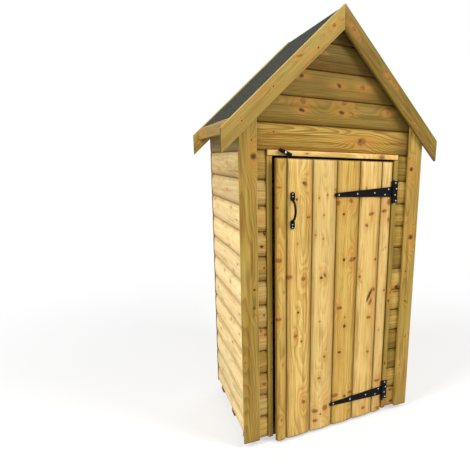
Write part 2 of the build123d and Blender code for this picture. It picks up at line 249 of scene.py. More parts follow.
def knot_group():
    """One knot of a board: its lift of the growth rings, core, rim and halo, and how dark and green it is."""
    tree = bpy.data.node_groups.new("knot", "ShaderNodeTree")
    for name, kind in (("Place", "Vector"), ("Knot", "Vector"), ("Shape", "Vector"), ("Ragged", "Float")):
        tree.interface.new_socket(name, in_out="INPUT", socket_type=f"NodeSocket{kind}")
    for name in KNOT_PARTS:
        tree.interface.new_socket(name, in_out="OUTPUT", socket_type="NodeSocketFloat")
    s = Shader(tree)
    inputs = s.node("NodeGroupInput").outputs
    outputs = s.node("NodeGroupOutput").inputs
    place, knot, shape = s.split(inputs["Place"]), s.split(inputs["Knot"]), s.split(inputs["Shape"])
    radius = s.math("MAXIMUM", knot[2], 0.00001)
    stretch = s.math("MAXIMUM", shape[0], 0.05)
    along = s.math("SUBTRACT", place[0], knot[0])
    across = s.math("SUBTRACT", place[1], knot[1])
    cosine, sine = s.math("COSINE", shape[1]), s.math("SINE", shape[1])
    leaning = s.line(along, cosine, s.times(across, sine))
    beside = s.math("SUBTRACT", s.times(across, cosine), s.times(along, sine))
    distance = s.vector("LENGTH", s.combine(s.math("DIVIDE", leaning, stretch), beside, 0.0))
    near = s.math("DIVIDE", s.times(distance, inputs["Ragged"]), radius)
    size = s.times(radius, s.math("SQRT", s.math("MINIMUM", stretch, 1.5)))
    flow = s.vector("LENGTH", s.combine(s.times(along, 0.33), across, 0.0))
    flow = s.math("DIVIDE", flow, size)
    flow = s.times(flow, flow)
    timber = s.math("LESS_THAN", shape[2], 1.5)
    core = s.remap(near, 1.3, 0.55)
    rim = s.times(s.remap(near, 0.5, 0.95), s.remap(near, 1.4, 1.05))
    bell = s.math("EXPONENT", s.times(flow, -0.22))
    halo = s.math("EXPONENT", s.times(flow, -0.30))
    real = s.times(timber, s.remap(knot[2], 0.0008, 0.0016))
    results = (
        s.times(bell, s.times(s.times(size, 1.3), real)), s.times(core, real),
        s.times(s.times(core, shape[2]), real), s.times(rim, real), s.times(halo, real),
        s.times(core, s.math("SUBTRACT", 1.0, timber)),
    )
    for name, result in zip(KNOT_PARTS, results):
        s.join(outputs[name], result)
    return tree


def timber_material():
    """Planed softwood: growth rings cut from a log, fibre, knots, each board's tone (on some boards partly
    painted shade), and painted shade and a painted highlight at the edges and ends.

    The boards carry the place along, across and out of each point, how near it is to the edges and ends of
    its board, and the board's own seed, tone and knots.
    """
    material, s = new_material("softwood")
    grain = s.attribute("grain")["Vector"]
    seed = s.attribute("seed")["Vector"]
    rim = s.split(s.attribute("rim")["Vector"])
    tones = s.attribute("tone")
    tone, figure = s.split(tones["Vector"]), tones["Alpha"]
    away = s.vector("MULTIPLY_ADD", seed, (31.0, 17.0, 23.0), grain)
    seeds = s.split(seed)
    place = s.split(grain)

    group = knot_group()
    ragged = s.line(s.noise(grain, 150), 0.9, 0.55)
    parts = dict.fromkeys(KNOT_PARTS, 0.0)
    for index in range(NEAREST):
        one = s.node("ShaderNodeGroup", node_tree=group)
        s.join(one.inputs["Place"], grain)
        s.join(one.inputs["Knot"], s.attribute(f"knot_{index}")["Vector"])
        s.join(one.inputs["Shape"], s.attribute(f"shape_{index}")["Vector"])
        s.join(one.inputs["Ragged"], ragged)
        for name in KNOT_PARTS:
            parts[name] = s.math("ADD" if name == "Lift" else "MAXIMUM", one.outputs[name], parts[name])

    # Distance from the heart of the log, which leans through the board, gives the rings and their arches
    wander = s.noise(away, (1.6, 9.0, 9.0), 2.0)
    across = s.math("SUBTRACT", place[1], s.line(seeds[0], 0.11, -0.055))
    under = s.math("ADD", place[2], s.line(seeds[1], 0.05, 0.012))
    under = s.line(place[0], s.line(seeds[2], 0.07, -0.035), under)
    radius = s.vector("LENGTH", s.combine(across, under, 0.0))
    radius = s.math("ADD", s.line(wander, 0.040, radius), parts["Lift"])
    ring = s.math("FRACT", s.times(radius, RINGS_PER_METRE))
    late = s.times(s.remap(ring, 0.25, 0.86), s.remap(ring, 1.0, 0.88))
    wide = s.noise(s.combine(0.0, s.times(radius, 60.0), seeds[0]), 1.0, 2.0)

    streak = s.noise(away, (2.6, 85.0, 85.0), 4.0, 0.62)
    thread = s.noise(away, (3.4, 210.0, 210.0), 3.0, 0.6)
    fibre = s.noise(away, (14.0, 800.0, 800.0), 2.0, 0.6)
    cloud = s.noise(away, (4.0, 14.0, 14.0))
    patch = s.noise(away, (7.0, 34.0, 34.0))

    golden = s.mix(cloud, srgb(194, 153, 68), srgb(232, 198, 110))
    pale = s.mix(cloud, srgb(220, 188, 128), srgb(250, 230, 180))
    olive = s.mix(cloud, srgb(116, 90, 26), srgb(162, 136, 48))
    colour = s.mix(tone[0], golden, pale)
    colour = s.mix(tone[1], colour, olive)
    colour = s.tinted(
        colour,
        (s.remap(patch, 0.54, 0.72), 0.34, (206, 142, 76)),
        (s.remap(patch, 0.46, 0.30), 0.36, (148, 138, 54)),
    )

    late = s.times(late, figure)
    colour = s.mix(s.times(late, 0.80), colour, s.darker(colour, (186, 160, 118)))
    dull = s.times(s.remap(streak, 0.50, 0.68), s.times(figure, 1.3))
    colour = s.mix(dull, colour, s.darker(colour, (212, 190, 140)))
    bright = s.times(s.remap(streak, 0.48, 0.32), s.line(tone[1], -0.24, 0.30))
    colour = s.mix(bright, colour, srgb(244, 218, 140))
    shade = s.times(s.line(wide, 0.24, 0.90), s.line(thread, 0.44, 0.78))
    shade = s.times(s.times(shade, s.line(fibre, 0.20, 0.91)), tone[2])
    colour = s.mix(1.0, colour, s.combine(shade, shade, shade), "MULTIPLY")

    # Darker along the rounded lips and in the laps: stain, and painted shade of the rounded faces. Darker
    # on the lower side: painted shade. Darker at the ends: end-grain stain, and painted shade where it runs
    # far in. One planed corner is painted pale: a painted highlight
    # Painted shade: each rounded board darkens towards its lower side, and a door board towards the hinge
    lower = s.times(s.remap(rim[0], -0.05, -1.0), 0.30)
    colour = s.mix(lower, colour, s.darker(colour, (196, 170, 120)))
    # Stain and painted shade along the rounded lips and in the laps, less on pale boards
    edge = s.math("ABSOLUTE", rim[0])
    soaked = s.times(s.remap(s.line(streak, 0.12, edge), 0.66, 1.14), 0.50)
    soaked = s.math("MAXIMUM", soaked, s.times(s.remap(edge, 0.99, 1.03), 0.8))
    # Towards the ends: end-grain stain over a few millimetres, painted shade of the barges over the gable
    # boards' long lengths
    end = s.remap(rim[2], 1.0, 0.0)
    soaked = s.math("MAXIMUM", soaked, s.times(end, 0.6))
    colour = s.tinted(
        colour,
        (soaked, s.line(tone[0], -0.35, 1.0), (116, 84, 18)),
        (s.times(end, end), 0.75, (48, 34, 8)),
    )
    # Painted highlight: a pale line along one long edge of each planed board
    painted_edge_highlight = s.times(s.remap(rim[1], 0.93, 0.98), s.remap(rim[1], 1.0, 0.99))
    colour = s.tinted(colour, (painted_edge_highlight, 0.5, (236, 210, 150)))

    # Knots and the odd pin knot
    colour = s.tinted(colour, (parts["Halo"], 0.62, (186, 128, 52)))
    heartwood = s.mix(s.remap(s.noise(grain, 260), 0.38, 0.62), srgb(84, 46, 14), srgb(160, 100, 38))
    colour = s.mix(s.times(parts["Core"], 0.84), colour, heartwood)
    colour = s.tinted(
        colour,
        (parts["Rim"], 0.34, (96, 56, 18)),
        (parts["Dark"], 0.84, (56, 38, 16)),
        (parts["Green"], 0.62, (76, 104, 42)),
    )
    pins = s.node("ShaderNodeTexVoronoi", feature="F1")
    s.join(pins.inputs["Vector"], s.vector("MULTIPLY", away, (13.0, 22.0, 22.0)))
    pins.inputs["Scale"].default_value = 1.0
    chosen = s.math("GREATER_THAN", s.split(pins.outputs["Color"])[0], 0.72)
    pin = s.times(s.remap(pins.outputs["Distance"], 0.055, 0.025), chosen)
    colour = s.tinted(colour, (pin, 0.7, (96, 62, 26)))

    rough = s.line(parts["Core"], -0.14, s.line(streak, 0.2, 0.60))
    relief = s.line(late, 0.5, s.times(fibre, 0.55))
    relief = s.line(parts["Rim"], -1.4, s.line(parts["Core"], 0.7, relief))
    s.surface(colour, rough, relief, 0.25 * MM, 0.8, specular=0.22)
    return material


def felt_material():
    """Mineral roofing felt: dark grey grit with faint green, smeared down the slope."""
    material, s = new_material("mineral_felt")
    place = s.place()
    grit = s.noise(place, 900, 2, 0.7)
    coarse = s.noise(place, (120.0, 70.0, 120.0), 3, 0.7)
    patch = s.noise(place, 7)
    run = s.noise(place, (6.0, 120.0, 6.0))
    colour = s.mix(patch, srgb(19, 21, 17), srgb(36, 37, 31))
    colour = s.tinted(
        colour,
        (s.remap(coarse, 0.44, 0.63), 0.75, (76, 78, 62)),
        (s.remap(grit, 0.52, 0.70), 0.5, (92, 93, 80)),
        (s.remap(grit, 0.48, 0.34), 0.6, (20, 22, 20)),
        (s.remap(run, 0.5, 0.75), 0.3, (30, 34, 28)),
    )
    s.surface(colour, s.line(grit, 0.15, 0.84), grit, 0.7 * MM, 0.9, specular=0.15)
    return material


def iron_material():
    """Black painted ironmongery, a little glossy, rubbed thin in places."""
    material, s = new_material("black_iron")
    place = s.place()
    peel = s.noise(place, 260, 2)
    rub = s.noise(place, 45, 4, 0.65)
    colour = s.mix(s.remap(rub, 0.62, 0.78), srgb(7, 7, 7), srgb(26, 24, 21))
    s.surface(colour, s.line(rub, 0.25, 0.36), peel, 0.15 * MM, 0.5, specular=0.10)
    return material


def zinc_material():
    """Bright zinc of the screws, with dull patches."""
    material, s = new_material("bright_zinc")
    dull = s.noise(s.place(), 700)
    colour = s.mix(dull, srgb(176, 178, 182), srgb(226, 227, 230))
    s.surface(colour, s.line(dull, 0.25, 0.22), dull, 0.05 * MM, 0.4, metallic=1.0)
    return material


def nail_material():
    """Dull grey nail heads, with a touch of rust."""
    material, s = new_material("nail_steel")
    rust = s.noise(s.place(), 300)
    colour = s.mix(s.remap(rust, 0.5, 0.7), srgb(96, 90, 80), srgb(92, 58, 32))
    s.surface(colour, s.line(rust, 0.3, 0.4), rust, 0.05 * MM, 0.4, metallic=0.6)
    return material


TIMBER = timber_material()
FELT = felt_material()
IRON = iron_material()
ZINC = zinc_material()
NAIL = nail_material()


# Pieces

def placed(data):
    """An object in the scene for a mesh, a lamp or a camera."""
    made = bpy.data.objects.new(data.name, data)
    bpy.context.scene.collection.objects.link(made)
    return made


def finished(mesh, material, body, slot, *nodes, corner=CORNER):
    """Cleans a mesh, shades it smooth between its corners, and hangs it on its body in place of its nodes."""
    work = bmesh.new()
    work.from_mesh(mesh)
    bmesh.ops.dissolve_degenerate(work, dist=0.001 * MM, edges=work.edges)
    bmesh.ops.recalc_face_normals(work, faces=work.faces)
    work.to_mesh(mesh)
    work.free()
    mesh.shade_smooth()
    mesh.set_sharp_from_angle(angle=corner)
    mesh.materials.append(material)
    piece = placed(mesh)
    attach(piece, body)
    if nodes:
        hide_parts(*nodes)


# Timber

def setting(origin, along, across, out):
    """Where a board lies: its origin, and the directions along it, across it and out of its face."""
    matrix = Matrix((along, across, out)).transposed().to_4x4()
    matrix.translation = origin
    return matrix


def loglap(low, high, top=None):
    """Section of one loglap board, across and out: a log-shaped face, a rounded lip and a tongue.

    top gives the height that the section may reach at a distance out, for a board that is bevelled.
    """
    shoulder = high - LAP_GAP
    middle, half = (low + shoulder) / 2, (shoulder - low) / 2
    points = [(low, 0.0), (low, LIP - LIP_ROUND), (low + LIP_ROUND * 0.35, LIP - LIP_ROUND * 0.3)]
    steps = 12
    for step in range(steps + 1):
        across = low + LIP_ROUND + (shoulder - low - 2 * LIP_ROUND) * step / steps
        points.append((across, LIP + (CREST - LIP) * (1 - ((across - middle) / half) ** 2)))
    points += [(shoulder - LIP_ROUND * 0.35, LIP - LIP_ROUND * 0.3), (shoulder, LIP - LIP_ROUND)]
    points += [(shoulder, TONGUE), (high, TONGUE), (high, 0.0)]
    if top:
        points = [(min(across, top(out)), out) for across, out in points]
    return points


def planed(width, thickness, arris=ARRIS):
    """Section of a planed board, across and out, with its four long corners eased."""
    points = []
    corners = ((0, 0, 180), (0, thickness, 90), (width, thickness, 0), (width, 0, -90))
    for across, out, start in corners:
        centre = (min(max(across, arris), width - arris), min(max(out, arris), thickness - arris))
        for step in range(4):
            turn = math.radians(start + 90 - 30 * step)
            points.append((centre[0] + arris * math.cos(turn), centre[1] + arris * math.sin(turn)))
    return points


def eased(section, amount):
    """The same section drawn in by a small amount all round, for the eased end of a board."""
    drawn = []
    for before, point, after in zip(section[-1:] + section[:-1], section, section[1:] + section[:1]):
        tangent = Vector((after[0] - before[0], after[1] - before[1]))
        if tangent.length < TINY:
            drawn.append(point)
            continue
        tangent.normalize()
        drawn.append((point[0] + tangent.y * amount, point[1] - tangent.x * amount))
    return drawn


def mark(along, across, wide, tall, kind=BROWN, lean=0):
    """A knot: where it is along and across its board, and its half width and half height, in millimetres."""
    return along * MM, across * MM, wide * MM, tall / wide, math.radians(lean), kind


class Stock:
    """Boards gathered into one piece, with what the timber material reads at each of their points and faces.

    The seed settles what is left to chance, and the tone is that of boards without one of their own.
    """

    def __init__(self, seed, tone=None):
        self.tone = tone
        self.random = random.Random(seed)
        self.points, self.faces = [], []
        self.at_points = {"grain": [], "rim": []}
        shapes = (f"{kind}_{index}" for kind in ("knot", "shape") for index in range(NEAREST))
        self.at_faces = {label: [] for label in ("seed", "tone", *shapes)}

    def scatter(self, start, end, low, high):
        """Rows of knots strewn over a board."""
        rand = self.random
        knots = []
        for _ in range(int((end - start) / KNOT_SPACING + rand.random() * 1.5)):
            wide = rand.choice((3, 4, 5, 6, 8, 10, 12))
            knots.append((
                rand.uniform(start, end) / MM, rand.uniform(low + KNOT_MARGIN, high - KNOT_MARGIN) / MM,
                wide, wide * rand.uniform(0.5, 1.1), DARK if rand.random() < 0.3 else BROWN,
                rand.uniform(-35, 35),
            ))
        return knots

    def board(
        self, place, section, start, end, knots=None, tone=None, sunk=0.4 * MM, cells=14, soak=END_SOAK,
    ):
        """Adds a board of a section, from start to end, which are lengths or functions of across and out.

        The knots are rows for mark(), or else strewn. The face dips below its true place, by a length that
        depends on sunk, and the ends darken over two given lengths: over a few millimetres that is end-grain
        stain, over longer lengths it is painted shade. cells is how finely it is drawn.
        """
        rand = self.random
        begin = start if callable(start) else lambda across, out: start
        finish = end if callable(end) else lambda across, out: end
        rounded = section[-1][0] > section[-3][0]
        low = min(across for across, out in section)
        shoulder = section[-4][0] if rounded else max(across for across, out in section)
        middle, half = (low + shoulder) / 2, (shoulder - low) / 2
        length = finish(middle, 0) - begin(middle, 0)
        if knots is None:
            knots = self.scatter(begin(middle, 0), finish(middle, 0), low, shoulder)
        knots = [
            (along, across - middle, *shape) for along, across, *shape in (mark(*knot) for knot in knots)
        ]
        seed = (rand.random(), rand.random(), rand.random())
        pale, olive, light, figure = tone or self.tone
        board_tone = (
            pale + rand.uniform(-0.12, 0.12),
            olive + rand.uniform(-0.08, 0.08),
            light * rand.uniform(0.95, 1.04),
            figure,
        )
        drop, bow = rand.uniform(0.1, 0.6) * sunk, rand.uniform(0, 0.6) * sunk
        phase = rand.uniform(0, math.pi)
        inner = length - 2 * SAWN_ARRIS
        stations = [0.0, *(SAWN_ARRIS + inner * cell / cells for cell in range(cells + 1)), length]
        drawn_in = eased(section, SAWN_ARRIS * 0.7)
        first, rings = len(self.points), len(stations)
        for index, station in enumerate(stations):
            ring = drawn_in if index in (0, rings - 1) else section
            for across, out in ring:
                near, far = begin(across, out), finish(across, out)
                along = near + (far - near) * station / length
                sag = drop + bow * math.sin(station / length * math.pi + phase) ** 2
                local = Vector((along, across, out - (sag if out > sunk * 2 else 0.0)))
                share = (across - middle) / half
                self.points.append(place @ local)
                self.at_points["grain"].append((along, across - middle, out))
                # How far in from the ends, as a share of the lengths over which the ends darken with stain
                # and painted shade
                inward = min(station / soak[0], (length - station) / soak[1])
                self.at_points["rim"].append((share if rounded else 0.0, 0.0 if rounded else share, inward))
        count = len(section)
        added = []
        for ring in range(rings - 1):
            for point in range(count):
                a, b = first + ring * count + point, first + ring * count + (point + 1) % count
                added.append((a, a + count, b + count, b))
        last = first + (rings - 1) * count
        added += [tuple(range(first, first + count)), tuple(reversed(range(last, last + count)))]
        for face in added:
            corners = [self.at_points["grain"][corner] for corner in face]
            along, across = (sum(corner[axis] for corner in corners) / len(corners) for axis in (0, 1))
            closest = sorted(
                knots, key=lambda knot: math.hypot((knot[0] - along) / 2, knot[1] - across) - knot[2],
            )
            closest = (closest + [NO_KNOT] * NEAREST)[:NEAREST]
            for index, knot in enumerate(closest):
                self.at_faces[f"knot_{index}"].append(knot[:3])
                self.at_faces[f"shape_{index}"].append(knot[3:])
        self.faces += added
        self.at_faces["seed"] += [seed] * len(added)
        self.at_faces["tone"] += [board_tone] * len(added)

    def finish(self, name, body, slot, *nodes):
        """Makes the piece and stands it in for its nodes."""
        mesh = bpy.data.meshes.new(name)
        mesh.from_pydata(self.points, [], self.faces)
        for domain, values in (("POINT", self.at_points), ("FACE", self.at_faces)):
            for label, rows in values.items():
                kind, field = ("FLOAT_COLOR", "color") if len(rows[0]) == 4 else ("FLOAT_VECTOR", "vector")
                layer = mesh.attributes.new(label, kind, domain)
                layer.data.foreach_set(field, [value for row in rows for value in row])
        finished(mesh, TIMBER, body, slot, *nodes)


# Tones of boards: paleness, olive stain, lightness, and how strongly the rings show
# The left wall is paler than the right and the back: partly its own timber, partly painted light on that side
WALL_TONES = {
    "left": (0.85, 0.02, 1.0, 0.22), "right": (0.6, 0.08, 0.97, 0.4), "back": (0.5, 0.12, 0.96, 0.5),
}
SAWN = (0.45, 0.16, 0.92, 0.5)
# Bearers are dark olive and dim: painted shade under the floor
BEARER_IN_SHADE = (0.0, 1.0, 0.45, 0.6)
FASCIA = (0.1, 0.72, 0.74, 0.5)


def roof_limit(across_the_shed, drop=DECK_UNDERSIDE):
    """Height of a layer of the roof at a distance from the middle."""
    return APEX - abs(across_the_shed) - drop * ROOT2


def laps_between(bottom, top_lap, top, cover):
    """Heights where one board laps the next."""
    count = int((top_lap - bottom - LAP_GAP) / cover)
    return [bottom, *(top_lap - cover * step for step in range(count, -1, -1)), top]


SIDE_TOP_LAP = 1459 * MM
FRONT_TOP_LAP = 1236 * MM
side_low = box["left_wall"][0]
side_laps = laps_between(side_low.z, SIDE_TOP_LAP, SIDE_TOP_LAP + 34 * MM, COVER)

# Spike knots of the left wall: along it, height, half width and half height in millimetres, kind and lean
LEFT_WALL_KNOTS = [
    (-80, 1301, 8, 3, DARK, 8), (99, 1263, 6, 4), (-115, 1240, 8, 2, DARK, 12),
    (-69, 1181, 7, 3, DARK, -20), (280, 1233, 7, 5), (239, 1113, 8, 5, BROWN, 20),
    (-130, 1104, 9, 3, DARK, 25), (-234, 1060, 4, 3, DARK), (-79, 924, 9, 3, DARK, -25), (47, 774, 6, 4),
    (-85, 747, 8, 3, DARK, 15), (-238, 865, 5, 3, DARK), (-155, 819, 6, 4), (127, 597, 6, 5, BROWN, 10),
    (209, 641, 5, 4), (-247, 640, 5, 3, DARK), (-80, 558, 8, 3, DARK, -15), (-133, 560, 5, 3),
    (-239, 540, 4, 3, DARK), (-93, 445, 7, 3, DARK, 20), (-129, 361, 7, 4), (60, 1010, 5, 4),
    (-30, 250, 7, 4, BROWN, 15), (150, 190, 6, 4), (-190, 150, 6, 4, DARK), (170, 420, 7, 4),
    (20, 1400, 6, 4, DARK),
]
# Painted shade under the eaves: the top boards are darker and more olive. Tones from the top down
LEFT_WALL_EAVES_SHADE_TONES = [
    (0.40, 0.36, 0.46, 0.3), (0.40, 0.36, 0.46, 0.3), (0.62, 0.14, 0.72, 0.3), (0.78, 0.06, 0.84, 0.25),
    (0.82, 0.03, 0.95, 0.22),
]


def side_walls():
    """The loglap boards of both side walls, the top one bevelled under the roof."""
    boards = list(zip(side_laps, side_laps[1:]))
    for name, side in SIDES.items():
        low, high = box[f"{name}_wall"]
        inner = min(abs(low.x), abs(high.x))
        stock = Stock(f"{name} wall", WALL_TONES[name])
        place = setting(Vector((side * inner, 0, 0)), Y, Z, X * side)
        for index, (bottom, top) in enumerate(boards):
            section = loglap(bottom, top, lambda out: roof_limit(inner + out))
            knots = tone = None
            if name == "left":
                knots = [knot for knot in LEFT_WALL_KNOTS if bottom < knot[1] * MM < top]
                below_eaves = len(boards) - 1 - index
                if below_eaves < len(LEFT_WALL_EAVES_SHADE_TONES):
                    tone = LEFT_WALL_EAVES_SHADE_TONES[below_eaves]
            stock.board(place, section, low.y, high.y, knots=knots, tone=tone, cells=20)
        stock.finish(f"{name}_wall_boards", "shed", "cladding_timber", f"{name}_wall")


def gable_board(stock, place, section, widest, **looks):
    """Adds a level board that ends on both sides at the wall's edge or at the roof."""
    def reach(across, out):
        return min(widest, roof_limit(0) - across)

    stock.board(place, section, lambda across, out: -reach(across, out), reach, **looks)


def back_wall():
    """The loglap boards of the rear wall, up to the peak."""
    low, high = box["back_wall"]
    stock = Stock("back wall", WALL_TONES["back"])
    place = setting(Vector((0, low.y, 0)), X, Z, Y)
    laps = [*side_laps[:-1], *(SIDE_TOP_LAP + COVER * step for step in range(1, 5))]
    for bottom, top in zip(laps, laps[1:]):
        section = loglap(bottom, top, lambda out: roof_limit(0) - 2 * MM)
        gable_board(stock, place, section, high.x, cells=24)
    stock.finish("back_wall_boards", "shed", "cladding_timber", "back_wall")


# Gable boards from the doorway up: knots across the shed and up it, and the tone of each board
GABLE_KNOTS = [
    [(117, 1409, 15, 20, BROWN, 20), (110, 1412, 6, 5, DARK), (-300, 1430, 4, 4)],
    [(-176, 1525, 7, 13, DARK, -10), (-170, 1561, 12, 10, BROWN, 50), (12, 1528, 7, 13, DARK, -8),
     (26, 1568, 8, 15, BROWN, 10), (60, 1530, 5, 12, BROWN, -20), (250, 1545, 6, 7)],
    [(-178, 1660, 7, 10, DARK, 20), (-4, 1638, 7, 11, DARK, -35), (113, 1642, 9, 11)],
    [(-80, 1760, 4, 4)],
    [],
]
# The boards grow darker and more olive towards the peak: partly their own colour, partly painted shade under
# the roof
GABLE_TONES = [
    (0.0, 0.66, 1.12, 1.1), (0.0, 0.76, 0.74, 0.6), (0.0, 0.76, 0.69, 0.5), (0.0, 0.96, 0.58, 0.8),
    (0.0, 1.0, 0.5, 0.7),
]
# Painted shade of the barges: the gable boards darken over this far in from their left and right ends
GABLE_END_SHADE = (110 * MM, 230 * MM)

# Cladding beside the doorway: knots across the shed and up it, and the tones that its boards take in turn
SLIM_KNOTS = {
    "left": [
        (-343, 1004, 9, 4, DARK, 30), (-355, 949, 6, 8, DARK, -20), (-345, 854, 4, 4, DARK),
        (-347, 636, 4, 4, DARK), (-340, 543, 6, 7), (-362, 560, 5, 4), (-367, 1114, 5, 6), (-350, 300, 5, 8),
    ],
    "right": [
        (358, 695, 12, 10, DARK, 40), (352, 672, 5, 12), (364, 712, 6, 6, GREEN), (355, 116, 6, 8, DARK),
        (362, 48, 8, 10, DARK, 30), (360, 900, 4, 6), (356, 1050, 5, 7, GREEN),
    ],
}
SLIM_TONES = {
    "left": [(0.20, 0.10, 0.98, 0.5), (0.0, 0.45, 0.94, 0.6), (0.30, 0.20, 0.92, 0.5)],
    "right": [(0.0, 0.60, 0.95, 0.6), (0.0, 0.95, 0.86, 0.6), (0.05, 0.45, 0.94, 0.5)],
}


def front_walls():
    """Cladding beside the doorway and over it."""
    head = box["front_gable"][0].z
    laps = laps_between(box["front_left_wall"][0].z, FRONT_TOP_LAP, head, COVER)
    for name, marks in SLIM_KNOTS.items():
        node = f"front_{name}_wall"
        low, high = box[node]
        stock = Stock(f"front {name} wall")
        place = setting(Vector((0, high.y, 0)), X, Z, -Y)
        for step, (bottom, top) in enumerate(zip(laps, laps[1:])):
            knots = [knot for knot in marks if bottom < knot[1] * MM < top]
            tone = SLIM_TONES[name][(step * 2 + step // 3) % 3]
            stock.board(place, loglap(bottom, top), low.x, high.x, knots=knots, tone=tone, cells=4)
        stock.finish(f"{node}_boards", "shed", "cladding_timber", node)
    low, high = box["front_gable"]
    stock = Stock("gable")
    place = setting(Vector((0, high.y, 0)), X, Z, -Y)
    for step, (knots, tone) in enumerate(zip(GABLE_KNOTS, GABLE_TONES)):
        section = loglap(head + step * GABLE_COVER, head + (step + 1) * GABLE_COVER)
        gable_board(stock, place, section, high.x, knots=knots, tone=tone, cells=30, soak=GABLE_END_SHADE)
    stock.finish("gable_boards", "shed", "cladding_timber", "front_gable")


# Corner trims: tone, and knots by height and distance across from the left edge
TRIM_TONES = {"left": (0.0, 0.66, 0.93, 0.6), "right": (0.0, 0.62, 0.96, 0.6)}
TRIM_KNOTS = {
    "left": [
        (1391, 53, 2.5, 3, DARK), (1327, 60, 13, 13), (1327, 61, 9, 9, DARK), (763, 56, 5, 5, DARK),
        (681, 54, 7, 8, DARK), (700, 55, 8, 42, GREEN, 4), (655, 52, 6, 22, GREEN), (430, 12, 4, 5),
    ],
    "right": [
        (1293, 18, 11, 10), (1293, 18, 8, 8, DARK), (955, 40, 9, 9, DARK), (957, 40, 14, 12),
        (779, 22, 4, 4, DARK), (620, 30, 5, 5, DARK), (612, 42, 6, 9, GREEN), (420, 45, 5, 5),
        (260, 20, 4, 5),
    ],
}


def corner_trims():
    """The two upright boards on the front corners."""
    for name, knots in TRIM_KNOTS.items():
        low, high = box[f"front_{name}_trim"]
        stock = Stock(f"{name} trim", TRIM_TONES[name])
        place = setting(Vector((low.x, high.y, 0)), Z, X, -Y)
        stock.board(
            place, planed(high.x - low.x, high.y - low.y, 2 * MM),
            low.z, lambda across, out: roof_limit(low.x + across), knots=knots, cells=44, sunk=0.2 * MM,
        )
        stock.finish(f"{name}_corner_trim", "shed", "trim_timber", f"front_{name}_trim")


# Strips round the doorway: tone, and knots along the strip and across it
STRIPS = {
    "left_jamb_strip": ((0.0, 0.92, 1.20, 0.5), [(575, 16, 4, 5), (348, 16, 3, 3, DARK)]),
    "right_jamb_strip": (
        (0.0, 0.80, 0.95, 0.5), [(652, 18, 7, 6), (608, 8, 4, 8, DARK), (262, 8, 4, 9, DARK)],
    ),
    "head_batten": ((0.22, 0.12, 1.16, 0.5), [(560, 9, 9, 14, BROWN, 5), (180, 12, 3, 3)]),
}
FRAMING = [
    "left_door_post", "right_door_post", "head_rail", "rear_left_post", "rear_right_post", "left_top_rail",
    "right_top_rail", "back_middle_rail", "front_bearer", "middle_bearer", "rear_bearer",
]


def straight_pieces():
    """Every strip and piece of framing that is a plain length of timber, run along its longest side."""
    pieces = {**STRIPS, **{node: (BEARER_IN_SHADE if "bearer" in node else SAWN, None) for node in FRAMING}}
    for node, (tone, knots) in pieces.items():
        low, high = box[node]
        size = high - low
        longest = max(range(3), key=lambda axis: size[axis])
        along = (X, Y, Z)[longest]
        across = X if longest == 2 else Z
        out = along.cross(across)
        origin = Vector(high[axis] if out[axis] < 0 else low[axis] for axis in range(3))
        section = planed(abs(size.dot(across)), abs(size.dot(out)), 1.2 * MM)
        place = setting(origin, along, across, out)
        stock = Stock(node, tone)
        stock.board(place, section, 0.0, size[longest], knots=knots, cells=20, sunk=0.1 * MM)
        slot = "trim_timber" if node in STRIPS else "framing_timber"
        stock.finish(f"{node}_timber", "shed", slot, node)


def side_by_side(stock, place, boards, start, end, gap, thickness, ends):
    """Adds square-edged boards side by side, from start to end across, with a small gap after each."""
    width = (end - start) / boards
    section = planed(width - gap, thickness, 1 * MM)
    for index in range(boards):
        stock.board(place, [(start + index * width + across, out) for across, out in section], *ends)


def floor():
    """Floor boards laid front to back over the bearers."""
    low, high = box["floor_boards"]
    stock = Stock("floor", SAWN)
    place = setting(Vector((low.x, 0, low.z)), Y, X, Z)
    side_by_side(stock, place, 9, 0.0, high.x - low.x, 0.6 * MM, high.z - low.z, (low.y, high.y))
    stock.finish("floor_boarding", "shed", "framing_timber", "floor_boards")


def slope(side):
    """The directions down one slope of the roof, and out of it."""
    return Vector((side, 0, -1)) / ROOT2, Vector((side, 0, 1)) / ROOT2


def roof():
    """Roof boards and fascias of both slopes."""
    for name, side in SIDES.items():
        low, high = box[f"{name}_roof_boards"]
        down, out = slope(side)
        slant = max(abs(low.x), abs(high.x)) * ROOT2
        place = setting(Vector((0, 0, APEX)) - out * DECK_UNDERSIDE, Y, down, out)
        stock = Stock(f"{name} roof boards", SAWN)
        thickness = DECK_UNDERSIDE - DECK_TOP
        side_by_side(stock, place, 7, DECK_UNDERSIDE, slant, 0.4 * MM, thickness, (low.y, high.y))
        stock.finish(f"{name}_roof_boarding", "shed", "framing_timber", f"{name}_roof_boards")

        low, high = box[f"{name}_fascia"]
        inner, outer = min(abs(low.x), abs(high.x)), max(abs(low.x), abs(high.x))
        section = [
            (min(across, roof_limit(inner + height, 0) - low.z), height)
            for across, height in planed(high.z - low.z, outer - inner, 1.2 * MM)
        ]
        stock = Stock(f"{name} fascia", FASCIA)
        place = setting(Vector((side * inner, 0, low.z)), Y, Z, X * side)
        stock.board(place, section, low.y, high.y, cells=20)
        stock.finish(f"{name}_fascia_board", "shed", "trim_timber", f"{name}_fascia")


